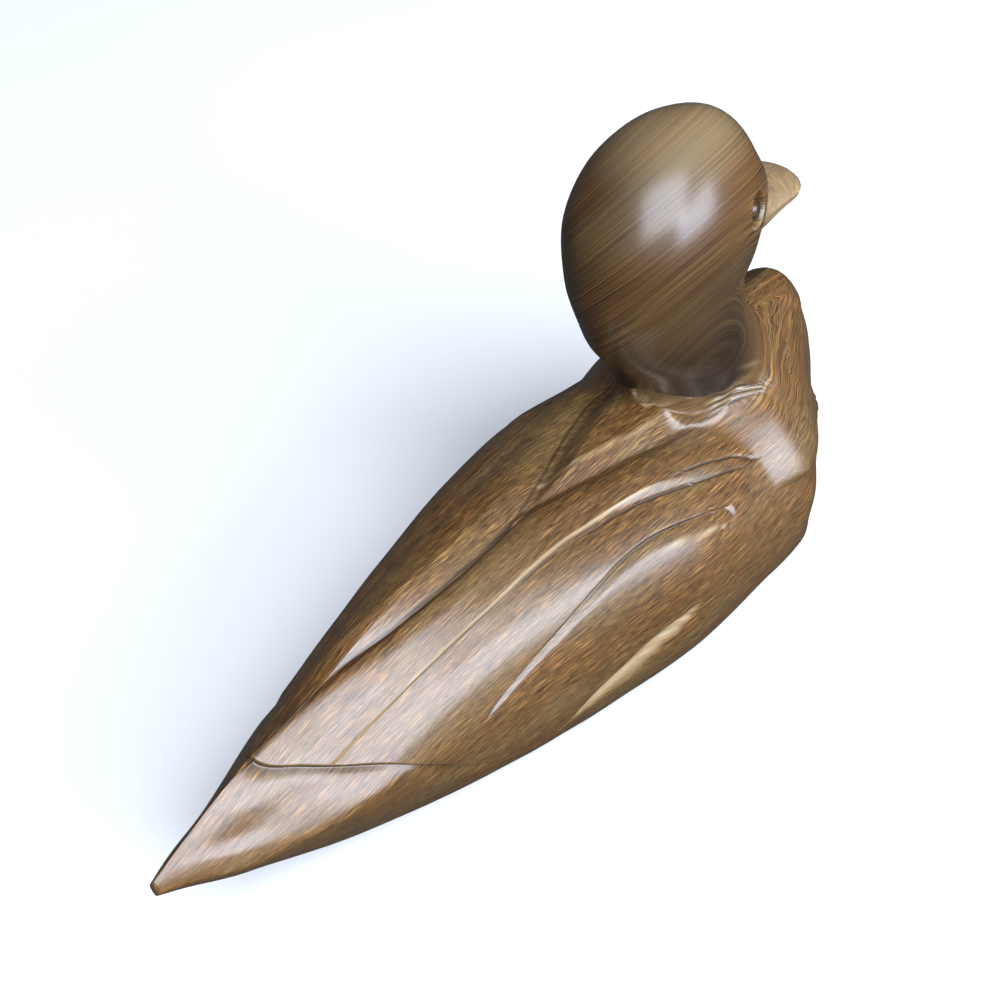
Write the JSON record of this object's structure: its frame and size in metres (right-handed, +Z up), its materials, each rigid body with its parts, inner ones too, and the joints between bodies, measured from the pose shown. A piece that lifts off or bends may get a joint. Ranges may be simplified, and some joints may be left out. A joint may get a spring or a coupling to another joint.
{
  "type": "duck decoy",
  "caption": "Carved wooden duck decoy with a round raised head, folded feathered wings and a pointed tail, cut from one block and standing on a flat underside",
  "frame": {"origin": "on the flat underside, below the middle of the duck's length and width", "axes": "+X towards the duck's left side, +Y from the bill towards the tail, +Z up"},
  "size_m": [0.095, 0.3, 0.1785],
  "materials": {
    "carved_wood": "open-pored brown hardwood, oiled and waxed to a soft satin sheen"
  },
  "bodies": {
    "root": {"duck": "carved_wood"}
  },
  "joints": []
}
